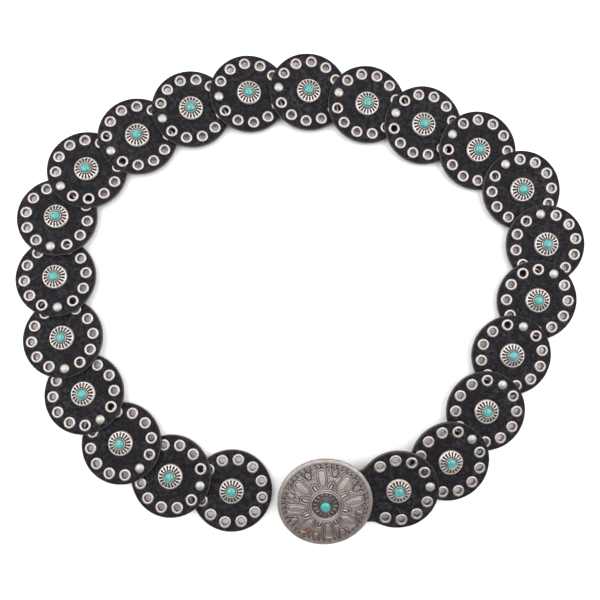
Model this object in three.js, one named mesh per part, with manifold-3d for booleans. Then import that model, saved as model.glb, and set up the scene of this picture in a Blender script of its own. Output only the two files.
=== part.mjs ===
// Western belt: a chain of overlapping round leather discs, each turning on one rivet, with a notched
// concho on every disc and a domed oval buckle at one end. It lies flat, face up and unfastened.
// Millimetres, +Z up.
import * as THREE from 'three';
import { mergeVertices } from 'three/addons/utils/BufferGeometryUtils.js';
import Module from 'manifold-3d';

// Leather discs and how they overlap
const DISC_D = 50.8;
const DISC_SIDES = 20;
const LEATHER_T = 2.4;
const LAP_GAP = 0.9; // air between two discs at their rivet, taken up by the eyelet rims
const PITCH = 39.4; // from a disc's own rivet to the rivet of the next disc
const FIT = 0.3; // clearance wherever two pieces meet
const LEAN_REACH = 2; // a disc leans the way that it and this many discs on either side head on average

// Eyelet holes, on the same circle as the two rivets
const EYELET_PLACES = 12;
const EYELET_HOLE_D = 4.8;
const HOLE_SIDES = 6;
const OPEN_PLACES = [2, 3, 4, 8, 9, 10]; // clear of both neighbours, counted from the next disc's rivet
const FREE_END_PLACES = [5, 6, 7]; // open as well on the first disc, which has nothing under it

// Rivets
const RIVET_SIDES = 8;
const SHANK_D = 3.2;
const RIVET_HOLE_D = 5.6; // in the lower disc, wider than an eyelet's because the rivet leans in it
const RIVET_HEAD_D = 6.4;
const RIVET_HEAD_H = 1.5;
const RIVET_CAP_D = 7.0;
const RIVET_CAP_H = 0.8;
const RIVET_SLACK = 0.5; // between the cap and the disc above it, since the discs lean different ways
const CROWN_SHARE = { width: 0.32, height: 0.85 }; // last ring of a dome, against its diameter and height

// Conchos: a round base, a cone of rays and the stone in its setting
const CONCHO_SIDES = 10;
const CONCHO_D = 15.5;
const CONCHO_PIN_W = 2.2; // square pin through the leather
const CONCHO_PROFILE = [
  { place: 'rim', d: CONCHO_D, z: 0.9 },
  { place: 'setting', d: 7.2, z: 2.9 },
];
const CONCHO_STONE_D = 6.6;
const CONCHO_TOP = 4.5;
const CONCHO_CROWN_DROP = 0.5; // last ring of the stone's dome, below its top

// Tab of the last disc, which goes over the loop bar and back under the disc
const TAB_W = 32.6;
const TAB_T = 1.8; // skived thinner than the disc, for the fold
const TAB_RISE = 1.6;
const TAB_HALFWAY = { rise: 0.6, lift: 98 }; // between the disc and the bar
const TAB_LEAVES = 16; // distance from the disc's centre where the tab leaves the disc's plane
const TAB_END = 12; // where the folded-back end lies, from the disc's centre
const TAB_END_GAP = 0.45;
const TAB_SAG = 0.8; // how far the folded-back leather hangs below its end, at the rivet
const NECK = { flare: 2, ahead: 1, out: 0.4, end: 6 }; // outline where the disc runs on into the tab
const FOLD_STEPS = 7;
const TAB_RIVET_AT = 22.8;
const TAB_RIVET_D = 5.0;
const TAB_RIVET_HEAD_H = 0.9;
const TAB_RIVET_RISE = 0.75; // share of the tab's rise that it has at the rivet

// Buckle: a domed oval shell with a loop bar and a hook soldered behind it
const BUCKLE_AHEAD = 46.2; // from the last disc's centre to the buckle's
const BUCKLE_RAISE = 3.2; // of the buckle's back edge above the last disc's middle
const BUCKLE_SECTORS = 24;
const PETAL_COUNT = 8;
const BUCKLE_FRONT = [
  { place: 'back edge', along: 29.3, across: 27.9, z: 0, petal: 0 },
  { place: 'rim outside', along: 29.3, across: 27.9, z: 1.5, petal: 0 },
  { place: 'rim inside', along: 27.9, across: 26.6, z: 2.1, petal: 0 },
  { place: 'border', along: 25.3, across: 24.1, z: 3.1, petal: 0 },
  { place: 'petal tips', along: 22.4, across: 21.4, z: 3.9, petal: 0.3 },
  { place: 'petals', along: 17.6, across: 16.9, z: 4.8, petal: 0.7 },
  { place: 'petal roots', along: 12.6, across: 12.2, z: 5.6, petal: 0.4 },
  { place: 'groove', along: 10.2, across: 10.0, z: 5.9, petal: 0 },
  { place: 'ring', along: 8.8, across: 8.8, z: 6.5, petal: 0 },
  { place: 'ring inside', along: 7.4, across: 7.4, z: 6.1, petal: 0 },
  { place: 'setting top', along: 4.2, across: 4.2, z: 7.2, petal: 0 },
  { place: 'seat edge', along: 3.6, across: 3.6, z: 6.3, petal: 0 },
];
const BUCKLE_SEAT_Z = 6.3;
const BUCKLE_BACK = [
  { place: 'middle', along: 9.5, across: 9.2, z: 4.7, petal: 0 },
  { place: 'shoulder', along: 18.0, across: 17.2, z: 3.3, petal: 0 },
  { place: 'flank', along: 24.0, across: 22.8, z: 1.5, petal: 0 },
  { place: 'back edge inside', along: 27.4, across: 26.0, z: 0, petal: 0 },
];
const BUCKLE_BACK_TOP = 4.9;
const BUCKLE_STONE_D = 6.6;
const BUCKLE_STONE_H = 2.0;
const STONE_SIDES = 12;
const STONE_PROFILE = [
  { place: 'girdle', width: 0.97, height: 0.35 },
  { place: 'crown', width: 0.6, height: 0.85 },
];
const WIRE_SIDES = 8;
const BAR_D = 2.4;
const BAR_FROM_DISC = 27; // from the last disc's centre to the bar
const LOOP_ARM = 5.5; // from the bar up into the shell's edge
const HOOK_D = 2.8;
const HOOK_AT = 19; // from the buckle's middle, on the side away from the strap
const HOOK_DROP = 6.2; // of the hook's tip below the buckle's back edge
const HOOK_REACH = 6.5;
const HOOK_ROOT = 4; // height inside the shell where the hook starts
const HOOK_TIP_RISE = 0.6;
const HOOK_BEND_SHARE = 0.3; // of the bend's middle point from its corner

// Heading of each disc, from its own rivet to the next one, counter-clockwise from +X. A disc falls by
// STEP on the way, and doesn't roll, unless its row says otherwise. Roll is in degrees about its heading
// and raises the edge on the inside of the loop.
const DISCS = [
  { disc: 1, heading: 168, fall: 0 },
  { disc: 2, heading: 164 },
  { disc: 3, heading: 130 },
  { disc: 4, heading: 126 },
  { disc: 5, heading: 98 },
  { disc: 6, heading: 98 },
  { disc: 7, heading: 82 },
  { disc: 8, heading: 36 },
  { disc: 9, heading: 33 },
  { disc: 10, heading: 22 },
  { disc: 11, heading: 9 },
  { disc: 12, heading: -5 },
  { disc: 13, heading: -20 },
  { disc: 14, heading: -21 },
  { disc: 15, heading: -30 },
  { disc: 16, heading: -56 },
  { disc: 17, heading: -79 },
  { disc: 18, heading: -121, roll: 0.5 },
  { disc: 19, heading: -111, roll: 3 },
  { disc: 20, heading: -121, fall: 2.5, roll: 6.5 },
  { disc: 21, heading: -133, fall: 1.9, roll: 9.5 },
  { disc: 22, heading: -173, fall: 0.7, roll: 11.5 },
];

// Worked out from the sizes above
const STEP = LEATHER_T + LAP_GAP; // how far a disc falls from its own rivet to the next
const HALF_T = LEATHER_T / 2;
const LAST = DISCS.length - 1;

const wasm = await Module();
wasm.setup();

const leather = new THREE.MeshStandardMaterial({ color: 0x232128, roughness: 0.62, metalness: 0 });
const silver = new THREE.MeshStandardMaterial({ color: 0x968a84, roughness: 0.38, metalness: 1 });
const turquoise = new THREE.MeshStandardMaterial({ color: 0x50beb9, roughness: 0.3, metalness: 0 });

const radians = THREE.MathUtils.degToRad;

// Closed solids for joining and cutting, and back to plain geometry

function toSolid(geometry) {
  const bare = geometry.clone();
  bare.deleteAttribute('normal');
  bare.deleteAttribute('uv');
  const merged = mergeVertices(bare, 1e-4);
  const mesh = new wasm.Mesh({
    numProp: 3,
    vertProperties: Float32Array.from(merged.attributes.position.array),
    triVerts: Uint32Array.from(merged.index.array),
  });
  return new wasm.Manifold(mesh);
}

function toGeometry(solid) {
  const mesh = solid.getMesh();
  const geometry = new THREE.BufferGeometry();
  geometry.setAttribute('position', new THREE.BufferAttribute(Float32Array.from(mesh.vertProperties), 3));
  geometry.setIndex(new THREE.BufferAttribute(Uint32Array.from(mesh.triVerts), 1));
  geometry.computeVertexNormals();
  return geometry;
}

// Points of a regular polygon, starting half a side round so that it is even about its own X axis
function polygon(diameter, sides, x = 0, y = 0) {
  const points = [];
  for (let i = 0; i < sides; i += 1) {
    const angle = ((i + 0.5) / sides) * 2 * Math.PI;
    const corner = new THREE.Vector2(Math.cos(angle), Math.sin(angle)).multiplyScalar(diameter / 2);
    points.push(corner.add(new THREE.Vector2(x, y)));
  }
  return points;
}

// Solid of revolution about Z, from rows of radius and height that run from the bottom to the top
function turned(rows, sides) {
  const profile = rows.map(([radius, z]) => new THREE.Vector2(radius, z));
  return new THREE.LatheGeometry(profile, sides).rotateX(Math.PI / 2);
}

function flatLeather(outline, holes) {
  const shape = new THREE.Shape(outline);
  shape.holes = holes.map((hole) => new THREE.Path(hole));
  const geometry = new THREE.ExtrudeGeometry(shape, { depth: LEATHER_T, bevelEnabled: false });
  return geometry.translate(0, 0, -HALF_T);
}

// Closed body through sections that all have the same number of corners
function lofted(sections) {
  const corners = sections[0].length;
  const points = sections.flat();
  const faces = [];
  for (let i = 0; i + 1 < sections.length; i += 1) {
    for (let j = 0; j < corners; j += 1) {
      const a = i * corners + j;
      const b = i * corners + ((j + 1) % corners);
      faces.push(a, b, b + corners, a, b + corners, a + corners);
    }
  }
  const end = (sections.length - 1) * corners;
  for (let j = 1; j + 1 < corners; j += 1) {
    faces.push(0, j + 1, j);
    faces.push(end, end + j, end + j + 1);
  }
  const geometry = new THREE.BufferGeometry();
  geometry.setFromPoints(points);
  geometry.setIndex(faces);
  return geometry;
}

// Round wire through a few points, with square-cut ends
function wire(points, diameter) {
  const sections = points.map((point, i) => {
    const before = points[Math.max(i - 1, 0)];
    const after = points[Math.min(i + 1, points.length - 1)];
    const forward = after.clone().sub(before).normalize();
    const sideways = new THREE.Vector3(0, 1, 0).cross(forward);
    if (sideways.length() < 0.1) sideways.set(1, 0, 0);
    sideways.normalize();
    const upward = forward.clone().cross(sideways);
    const ring = [];
    for (let k = 0; k < WIRE_SIDES; k += 1) {
      const angle = ((k + 0.5) / WIRE_SIDES) * 2 * Math.PI;
      const corner = point.clone();
      corner.addScaledVector(sideways, (diameter / 2) * Math.cos(angle));
      corner.addScaledVector(upward, (diameter / 2) * Math.sin(angle));
      ring.push(corner);
    }
    return ring;
  });
  return lofted(sections);
}

// The lie of the belt: where each disc's middle is, and how it leans

function meanHeading(index) {
  let sum = 0;
  for (let near = index - LEAN_REACH; near <= index + LEAN_REACH; near += 1) {
    sum += DISCS[THREE.MathUtils.clamp(near, 0, LAST)].heading;
  }
  return sum / (2 * LEAN_REACH + 1);
}

function discFrames() {
  const joint = new THREE.Vector3(0, 0, 0);
  return DISCS.map((row, i) => {
    const { fall = STEP, roll = 0 } = row;
    const heading = radians(row.heading);
    const leanHeading = radians(meanHeading(i));
    const run = Math.sqrt(PITCH ** 2 - fall ** 2);
    const slope = fall / run;
    const steepest = slope / Math.cos(leanHeading - heading);

    const forward = new THREE.Vector3(Math.cos(heading), Math.sin(heading), -slope).normalize();
    const upward = new THREE.Vector3(Math.cos(leanHeading) * steepest, Math.sin(leanHeading) * steepest, 1);
    upward.normalize().applyAxisAngle(forward, -radians(roll));
    const left = upward.clone().cross(forward);

    const centre = joint.clone().addScaledVector(forward, PITCH / 2);
    joint.addScaledVector(forward, PITCH);
    joint.z += STEP; // the next disc lies on top of this one
    return new THREE.Matrix4().makeBasis(forward, left, upward).setPosition(centre);
  });
}

// One piece of every kind, each in the frame of its own disc: X to the next rivet, Z out of the face

function eyeletHole(place) {
  const angle = (place / EYELET_PLACES) * 2 * Math.PI;
  return polygon(EYELET_HOLE_D, HOLE_SIDES, (PITCH / 2) * Math.cos(angle), (PITCH / 2) * Math.sin(angle));
}

function rivetSolid() {
  const underside = -HALF_T - LAP_GAP - LEATHER_T;
  const capTop = underside - RIVET_SLACK;
  const rows = [
    [0, capTop - RIVET_CAP_H],
    [RIVET_CAP_D / 2, capTop - RIVET_CAP_H],
    [RIVET_CAP_D / 2, capTop],
    [SHANK_D / 2, capTop],
    [SHANK_D / 2, HALF_T / 2],
    [RIVET_HEAD_D / 2, HALF_T / 2],
    [RIVET_HEAD_D * CROWN_SHARE.width, HALF_T + RIVET_HEAD_H * CROWN_SHARE.height],
    [0, HALF_T + RIVET_HEAD_H],
  ];
  return toSolid(turned(rows, RIVET_SIDES).translate(-PITCH / 2, 0, 0));
}

function pinHole() {
  return polygon((CONCHO_PIN_W + 2 * FIT) * Math.SQRT2, 4);
}

function discGeometry(index) {
  const holes = [pinHole()];
  for (const place of OPEN_PLACES) holes.push(eyeletHole(place));
  if (index === 0) {
    for (const place of FREE_END_PLACES) holes.push(eyeletHole(place));
  }
  holes.push(polygon(RIVET_HOLE_D, HOLE_SIDES, PITCH / 2, 0));
  const disc = flatLeather(polygon(DISC_D, DISC_SIDES), holes);
  return index === 0 ? disc : toGeometry(toSolid(disc).add(rivetSolid()));
}

// Last disc: its outline flares into the tab, and the tab goes over the bar and back

function tabPath() {
  const foldRadius = BAR_D / 2 + FIT + TAB_T / 2;
  const barZ = TAB_RISE - foldRadius;
  const path = [
    { x: TAB_LEAVES - 2, z: 0, lift: 90 },
    { x: TAB_LEAVES, z: 0, lift: 90 },
    { x: (TAB_LEAVES + BAR_FROM_DISC) / 2, z: TAB_RISE * TAB_HALFWAY.rise, lift: TAB_HALFWAY.lift },
  ];
  for (let i = 0; i <= FOLD_STEPS; i += 1) {
    const lift = 90 - (180 * i) / FOLD_STEPS;
    const x = BAR_FROM_DISC + foldRadius * Math.cos(radians(lift));
    path.push({ x, z: barZ + foldRadius * Math.sin(radians(lift)), lift });
  }
  const endZ = -HALF_T - TAB_END_GAP - TAB_T / 2;
  path.push({ x: TAB_LEAVES, z: endZ, lift: -90 });
  path.push({ x: TAB_END, z: endZ, lift: -90 });
  return path;
}

// Sections of the tab: 'lift' is where its outer face looks, in degrees above the way to the buckle
function tabGeometry() {
  const sections = tabPath().map((row) => {
    const outward = new THREE.Vector3(Math.cos(radians(row.lift)), 0, Math.sin(radians(row.lift)));
    const corner = (side, face) => new THREE.Vector3(row.x, (side * TAB_W) / 2, row.z)
      .addScaledVector(outward, (face * TAB_T) / 2);
    return [corner(-1, -1), corner(1, -1), corner(1, 1), corner(-1, 1)];
  });
  return lofted(sections);
}

function lastDiscOutline() {
  const radius = DISC_D / 2;
  const join = Math.asin((TAB_W / 2 + NECK.flare) / radius);
  const neckX = radius * Math.cos(join) + NECK.ahead;
  const points = [new THREE.Vector2(TAB_LEAVES + NECK.end, TAB_W / 2)];
  points.push(new THREE.Vector2(neckX, TAB_W / 2 + NECK.out));
  for (let i = 0; i <= DISC_SIDES - 4; i += 1) {
    const angle = join + ((2 * Math.PI - 2 * join) * i) / (DISC_SIDES - 4);
    points.push(new THREE.Vector2(radius * Math.cos(angle), radius * Math.sin(angle)));
  }
  points.push(new THREE.Vector2(neckX, -TAB_W / 2 - NECK.out));
  points.push(new THREE.Vector2(TAB_LEAVES + NECK.end, -TAB_W / 2));
  return points;
}

function lastDiscGeometry() {
  const holes = [pinHole()];
  for (const place of OPEN_PLACES) holes.push(eyeletHole(place));
  const disc = toSolid(flatLeather(lastDiscOutline(), holes)).add(rivetSolid());
  const tab = toSolid(tabGeometry());
  const length = 4 * STEP; // more than the folded tab is deep
  const radius = SHANK_D / 2 + FIT;
  const bore = turned([[0, -length], [radius, -length], [radius, length], [0, length]], HOLE_SIDES);
  bore.translate(TAB_RIVET_AT, 0, 0);
  return toGeometry(disc.add(tab).subtract(toSolid(bore)));
}

function tabRivetGeometry() {
  const top = HALF_T + TAB_RISE * TAB_RIVET_RISE + FIT;
  const bottom = -HALF_T - TAB_END_GAP - TAB_T - FIT - TAB_SAG;
  const rows = [
    [0, bottom - RIVET_CAP_H],
    [TAB_RIVET_D / 2, bottom - RIVET_CAP_H],
    [TAB_RIVET_D / 2, bottom],
    [SHANK_D / 2, bottom],
    [SHANK_D / 2, top],
    [TAB_RIVET_D / 2, top],
    [TAB_RIVET_D / 2, top + TAB_RIVET_HEAD_H],
    [0, top + TAB_RIVET_HEAD_H],
  ];
  return turned(rows, RIVET_SIDES);
}

// Concho: a square pin through the leather, the base on its face, rays and stone above
function conchoGeometry() {
  const rows = [
    [0, HALF_T + FIT],
    [CONCHO_D / 2, HALF_T + FIT],
  ];
  for (const row of CONCHO_PROFILE) rows.push([row.d / 2, HALF_T + row.z]);
  rows.push([CONCHO_STONE_D * CROWN_SHARE.width, HALF_T + CONCHO_TOP - CONCHO_CROWN_DROP]);
  rows.push([0, HALF_T + CONCHO_TOP]);
  const pinLength = LEATHER_T + 2 * FIT;
  const pin = new THREE.BoxGeometry(CONCHO_PIN_W, CONCHO_PIN_W, pinLength);
  pin.translate(0, 0, pinLength / 2 - HALF_T);
  return toGeometry(toSolid(turned(rows, CONCHO_SIDES)).add(toSolid(pin)));
}

// Buckle, in its own frame: X away from the strap, Z out of the face, origin in its back plane

function ovalRing(row) {
  const ring = [];
  for (let i = 0; i < BUCKLE_SECTORS; i += 1) {
    const angle = (i / BUCKLE_SECTORS) * 2 * Math.PI;
    const ridge = Math.max(0, Math.cos(PETAL_COUNT * angle));
    const z = row.z + row.petal * ridge;
    ring.push(new THREE.Vector3(row.along * Math.cos(angle), row.across * Math.sin(angle), z));
  }
  return ring;
}

function shellSolid() {
  const rings = [...BUCKLE_BACK, ...BUCKLE_FRONT].map(ovalRing);
  const points = rings.flat();
  const faces = [];
  for (let i = 0; i + 1 < rings.length; i += 1) {
    for (let j = 0; j < BUCKLE_SECTORS; j += 1) {
      const a = i * BUCKLE_SECTORS + j;
      const b = i * BUCKLE_SECTORS + ((j + 1) % BUCKLE_SECTORS);
      faces.push(a, b, b + BUCKLE_SECTORS, a, b + BUCKLE_SECTORS, a + BUCKLE_SECTORS);
    }
  }
  const backMiddle = points.length;
  points.push(new THREE.Vector3(0, 0, BUCKLE_BACK_TOP));
  const seatMiddle = points.length;
  points.push(new THREE.Vector3(0, 0, BUCKLE_SEAT_Z));
  const front = (rings.length - 1) * BUCKLE_SECTORS;
  for (let j = 0; j < BUCKLE_SECTORS; j += 1) {
    const next = (j + 1) % BUCKLE_SECTORS;
    faces.push(backMiddle, next, j);
    faces.push(seatMiddle, front + j, front + next);
  }
  const geometry = new THREE.BufferGeometry();
  geometry.setFromPoints(points);
  geometry.setIndex(faces);
  return toSolid(geometry);
}

// Rectangular loop behind the buckle, for the tab: a bar and two arms that run up into the shell
function loopSolid() {
  const x = BAR_FROM_DISC - BUCKLE_AHEAD;
  const y = TAB_W / 2 + FIT + BAR_D / 2;
  const z = TAB_RISE - BUCKLE_RAISE - BAR_D / 2 - FIT - TAB_T / 2;
  const end = y + BAR_D / 2;
  let loop = toSolid(wire([new THREE.Vector3(x, -end, z), new THREE.Vector3(x, end, z)], BAR_D));
  for (const side of [-1, 1]) {
    const foot = new THREE.Vector3(x, side * y, z - BAR_D * 0.45);
    const head = new THREE.Vector3(x, side * y, z + LOOP_ARM);
    loop = loop.add(toSolid(wire([foot, head], BAR_D)));
  }
  return loop;
}

// Hook behind the buckle: down from the shell, then in under the place of the first disc
function hookSolid() {
  const bend = HOOK_D;
  const tip = -HOOK_DROP + HOOK_D / 2;
  return toSolid(wire([
    new THREE.Vector3(HOOK_AT, 0, HOOK_ROOT),
    new THREE.Vector3(HOOK_AT, 0, tip + bend),
    new THREE.Vector3(HOOK_AT - bend * HOOK_BEND_SHARE, 0, tip + bend * HOOK_BEND_SHARE),
    new THREE.Vector3(HOOK_AT - bend, 0, tip),
    new THREE.Vector3(HOOK_AT - HOOK_REACH, 0, tip + HOOK_TIP_RISE),
  ], HOOK_D));
}

function buckleGeometry() {
  return toGeometry(shellSolid().add(loopSolid()).add(hookSolid()));
}

function buckleStoneGeometry() {
  const seat = BUCKLE_SEAT_Z + FIT;
  const radius = BUCKLE_STONE_D / 2;
  const rows = [[0, seat], [radius, seat]];
  for (const row of STONE_PROFILE) rows.push([radius * row.width, seat + BUCKLE_STONE_H * row.height]);
  rows.push([0, seat + BUCKLE_STONE_H]);
  return turned(rows, STONE_SIDES);
}

// The scene graph: every piece under the frame of its own disc, and the whole stood on its lowest points

function named(name, geometry, material) {
  const mesh = new THREE.Mesh(geometry, material);
  mesh.name = name;
  return mesh;
}

const belt = new THREE.Group();
const conchoShape = conchoGeometry();

discFrames().forEach((frame, i) => {
  const number = String(i + 1).padStart(2, '0');
  const section = new THREE.Group();
  section.applyMatrix4(frame);
  const shape = i === LAST ? lastDiscGeometry() : discGeometry(i);
  section.add(named(`disc_${number}`, shape, leather));
  section.add(named(`concho_${number}`, conchoShape, silver));
  if (i === LAST) {
    const tabRivet = named('tab_rivet', tabRivetGeometry(), silver);
    tabRivet.position.set(TAB_RIVET_AT, 0, 0);
    section.add(tabRivet);

    const buckle = new THREE.Group();
    buckle.position.set(BUCKLE_AHEAD, 0, BUCKLE_RAISE);
    buckle.add(named('buckle', buckleGeometry(), silver));
    buckle.add(named('buckle_stone', buckleStoneGeometry(), turquoise));
    section.add(buckle);
  }
  belt.add(section);
});

belt.updateMatrixWorld(true);
const bounds = new THREE.Box3().setFromObject(belt, true);
const middle = bounds.getCenter(new THREE.Vector3());
belt.position.set(-middle.x, -middle.y, -bounds.min.z);

export default belt;
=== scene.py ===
"""Western belt: the looks of every leather disc, eyelet, rivet, concho, stone and of the oval buckle.

Lengths in functions are in millimetres, in the frame of a disc or of the buckle. Blender gets metres.
"""
import math

import bmesh
import bpy
import numpy as np
from bpy.props import FloatProperty, FloatVectorProperty, IntProperty, PointerProperty
from mathutils import Matrix, Vector
from mathutils.geometry import delaunay_2d_cdt


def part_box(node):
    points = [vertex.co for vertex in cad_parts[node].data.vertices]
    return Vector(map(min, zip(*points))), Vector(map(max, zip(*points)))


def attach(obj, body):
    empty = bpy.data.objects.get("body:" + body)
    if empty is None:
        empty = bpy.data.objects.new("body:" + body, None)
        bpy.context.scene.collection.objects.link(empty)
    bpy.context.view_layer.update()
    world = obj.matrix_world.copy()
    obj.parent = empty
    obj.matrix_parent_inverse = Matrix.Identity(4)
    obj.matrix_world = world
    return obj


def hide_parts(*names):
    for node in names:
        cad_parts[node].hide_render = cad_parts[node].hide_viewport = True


bl_info = {
    "name": "Western belt",
    "version": (1, 0, 0),
    "blender": (4, 5, 0),
    "location": "3D View > Sidebar > Belt",
    "description": "Builds the pieces of a western belt of leather discs with an oval buckle",
    "category": "Add Mesh",
}

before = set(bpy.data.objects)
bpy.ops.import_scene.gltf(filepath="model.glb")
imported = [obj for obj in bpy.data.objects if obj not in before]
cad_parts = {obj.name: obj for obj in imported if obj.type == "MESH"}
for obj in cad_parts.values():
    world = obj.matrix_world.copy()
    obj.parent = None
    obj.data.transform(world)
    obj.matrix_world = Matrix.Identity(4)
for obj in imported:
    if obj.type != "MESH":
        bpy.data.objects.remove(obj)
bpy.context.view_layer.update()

BODY = "root"
MM = 0.001
TURN = 2 * math.pi

# Heading of each disc in degrees, from its own rivet to the next one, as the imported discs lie
HEADINGS = (
    168, 164, 130, 126, 98, 98, 82, 36, 33, 22, 9, -5, -20, -21, -30, -56, -79, -121, -111, -121, -133, -173)
DISC_COUNT = len(HEADINGS)
LAST = DISC_COUNT - 1
LEAN_REACH = 2  # discs on each side that share in a disc's lean

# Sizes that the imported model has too
LEATHER_T = 2.4
LAP_GAP = 0.9
PITCH = 39.4
STEP = LEATHER_T + LAP_GAP
HALF_T = LEATHER_T / 2
FALLS = {0: 0.0, LAST - 2: 2.5, LAST - 1: 1.9, LAST: 0.7}  # where a disc doesn't fall by STEP
ROLLS = {LAST - 4: 0.5, LAST - 3: 3.0, LAST - 2: 6.5, LAST - 1: 9.5, LAST: 11.5}  # the others don't roll
RIVET_SLACK = 0.5
TAB_W = 32.6
TAB_T = 1.8
TAB_RISE = 1.6
TAB_LEAVES = 16.0
BAR_D = 2.4
FOLD_RADIUS = BAR_D / 2 + 0.3 + TAB_T / 2
BAR_FROM_DISC = 27.0
TAB_END = 12.0
TAB_END_Z = -HALF_T - 0.45 - TAB_T / 2
TAB_RIVET_AT = 22.8
BUCKLE_AHEAD = 46.2
BUCKLE_RAISE = 3.2
HOOK_AT = 19.0
CONCHO_SEAT = HALF_T + 0.3
SHANK_RADIUS = 1.6

# Places round a disc, thirty degrees apart, counted from the next disc's rivet
EYELET_PLACES = 12
MIDDLE_EYELETS = (1, 2, 3, 4, 5, 7, 8, 9, 10, 11)
FREE_END_EYELETS = (1, 2, 3, 4, 5, 6, 7, 8, 9, 10, 11)
BUCKLE_END_EYELETS = (2, 3, 4, 5, 7, 8, 9, 10)


# Settings that a user would change

class LeatherSettings(bpy.types.PropertyGroup):
    disc_diameter: FloatProperty(
        name="Disc diameter", description="Across one leather disc", default=50.8 * MM, unit="LENGTH")
    edge_round: FloatProperty(
        name="Edge rounding", description="Radius of the burnished edge", default=0.5 * MM, unit="LENGTH")
    colour: FloatVectorProperty(
        name="Leather colour", description="Colour of the grain side", subtype="COLOR", size=3,
        default=(0.003, 0.0027, 0.004), min=0, max=1)
    dusty: FloatVectorProperty(
        name="Worn colour", description="Colour where the finish is rubbed", subtype="COLOR", size=3,
        default=(0.046, 0.042, 0.054), min=0, max=1)


class HardwareSettings(bpy.types.PropertyGroup):
    eyelet_diameter: FloatProperty(
        name="Eyelet diameter", description="Across the rolled rim", default=7.6 * MM, unit="LENGTH")
    eyelet_hole: FloatProperty(
        name="Eyelet hole", description="Clear hole of an eyelet", default=4.3 * MM, unit="LENGTH")
    rivet_diameter: FloatProperty(
        name="Rivet diameter", description="Across a rivet's head", default=6.0 * MM, unit="LENGTH")
    colour: FloatVectorProperty(
        name="Nickel colour", description="Colour of the eyelets", subtype="COLOR", size=3,
        default=(0.405, 0.376, 0.364), min=0, max=1)


class ConchoSettings(bpy.types.PropertyGroup):
    diameter: FloatProperty(
        name="Concho diameter", description="Across one concho", default=15.9 * MM, unit="LENGTH")
    notches: IntProperty(
        name="Notches", description="Cuts round the setting", default=18, min=8, max=40)
    stone_diameter: FloatProperty(
        name="Stone diameter", description="Across the small turquoise", default=6.8 * MM, unit="LENGTH")


class BuckleSettings(bpy.types.PropertyGroup):
    along: FloatProperty(
        name="Length", description="Across the oval, along the belt", default=58.6 * MM, unit="LENGTH")
    across: FloatProperty(
        name="Height", description="Across the oval, over the belt", default=56.2 * MM, unit="LENGTH")
    petals: IntProperty(
        name="Petals", description="Long petals round the middle", default=8, min=4, max=12)
    silver: FloatVectorProperty(
        name="Silver colour", description="Colour of the rubbed relief", subtype="COLOR", size=3,
        default=(0.425, 0.38, 0.36), min=0, max=1)
    oxide: FloatVectorProperty(
        name="Oxide colour", description="Colour of the recesses", subtype="COLOR", size=3,
        default=(0.062, 0.052, 0.049), min=0, max=1)
    stone: FloatVectorProperty(
        name="Turquoise colour", description="Colour of the stones", subtype="COLOR", size=3,
        default=(0.034, 0.225, 0.215), min=0, max=1)


class StageSettings(bpy.types.PropertyGroup):
    camera_height: FloatProperty(
        name="Camera height", description="Of the lens above the floor", default=0.3403, unit="LENGTH")
    focal_pixels: FloatProperty(
        name="Focal length", description="In pixels of a picture 600 pixels wide", default=524.0)


# The lie of the belt

def mean_heading(index):
    """Mean heading of a disc and its neighbours, which is the way that it leans."""
    near = range(index - LEAN_REACH, index + LEAN_REACH + 1)
    return sum(HEADINGS[min(max(i, 0), LAST)] for i in near) / (2 * LEAN_REACH + 1)


def disc_frames():
    """One matrix for each disc, in millimetres: X to the next rivet, Z out of the face."""
    joint = Vector((0, 0, 0))
    frames = []
    for i, degrees in enumerate(HEADINGS):
        heading = math.radians(degrees)
        lean = math.radians(mean_heading(i))
        fall = FALLS.get(i, STEP)
        slope = fall / math.sqrt(PITCH ** 2 - fall ** 2)
        steepest = slope / math.cos(lean - heading)
        forward = Vector((math.cos(heading), math.sin(heading), -slope)).normalized()
        upward = Vector((math.cos(lean) * steepest, math.sin(lean) * steepest, 1)).normalized()
        upward = Matrix.Rotation(-math.radians(ROLLS.get(i, 0)), 3, forward) @ upward
        frames.append(Matrix((forward, upward.cross(forward), upward)).transposed().to_4x4())
        frames[-1].translation = joint + forward * PITCH / 2
        joint = joint + forward * PITCH + Vector((0, 0, STEP))
    low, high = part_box("disc_01")
    shift = Matrix.Translation((low + high) / 2 / MM - frames[0].translation)
    return [shift @ matrix for matrix in frames]


FRAMES = disc_frames()
BUCKLE_FRAME = FRAMES[LAST] @ Matrix.Translation((BUCKLE_AHEAD, 0, BUCKLE_RAISE))


def eyelet_place(place):
    """X and Y of one of the places round a disc."""
    angle = TURN * place / EYELET_PLACES
    return PITCH / 2 * math.cos(angle), PITCH / 2 * math.sin(angle)


# Meshes

def make_piece(name, points, faces, matrix, slot, attributes, material=None):
    """Turns points in millimetres and faces of closed bodies into an object that rides on the belt.

    An attribute is one value, or one for each point. The material is the slot's own where none is named."""
    mesh = bpy.data.meshes.new(name)
    mesh.from_pydata([tuple(p) for p in points], [], [tuple(f) for f in faces])
    mesh.transform(Matrix.Scale(MM, 4) @ matrix)
    shell = bmesh.new()
    shell.from_mesh(mesh)
    bmesh.ops.recalc_face_normals(shell, faces=shell.faces)
    shell.to_mesh(mesh)
    shell.free()
    for key, values in attributes.items():
        layer = mesh.attributes.new(key, "FLOAT", "POINT")
        layer.data.foreach_set("value", np.full(len(points), values, np.float32))
    mesh.materials.append(MATERIALS[material or slot])
    mesh.shade_smooth()
    mesh.update()
    piece = bpy.data.objects.new(name, mesh)
    bpy.context.scene.collection.objects.link(piece)
    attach(piece, BODY)
    return piece


def join_parts(parts):
    """Joins (points, faces) pairs into one pair."""
    points = []
    faces = []
    for part_points, part_faces in parts:
        start = len(points)
        points.extend(part_points)
        faces.extend([tuple(start + i for i in face) for face in part_faces])
    return points, faces


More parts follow.
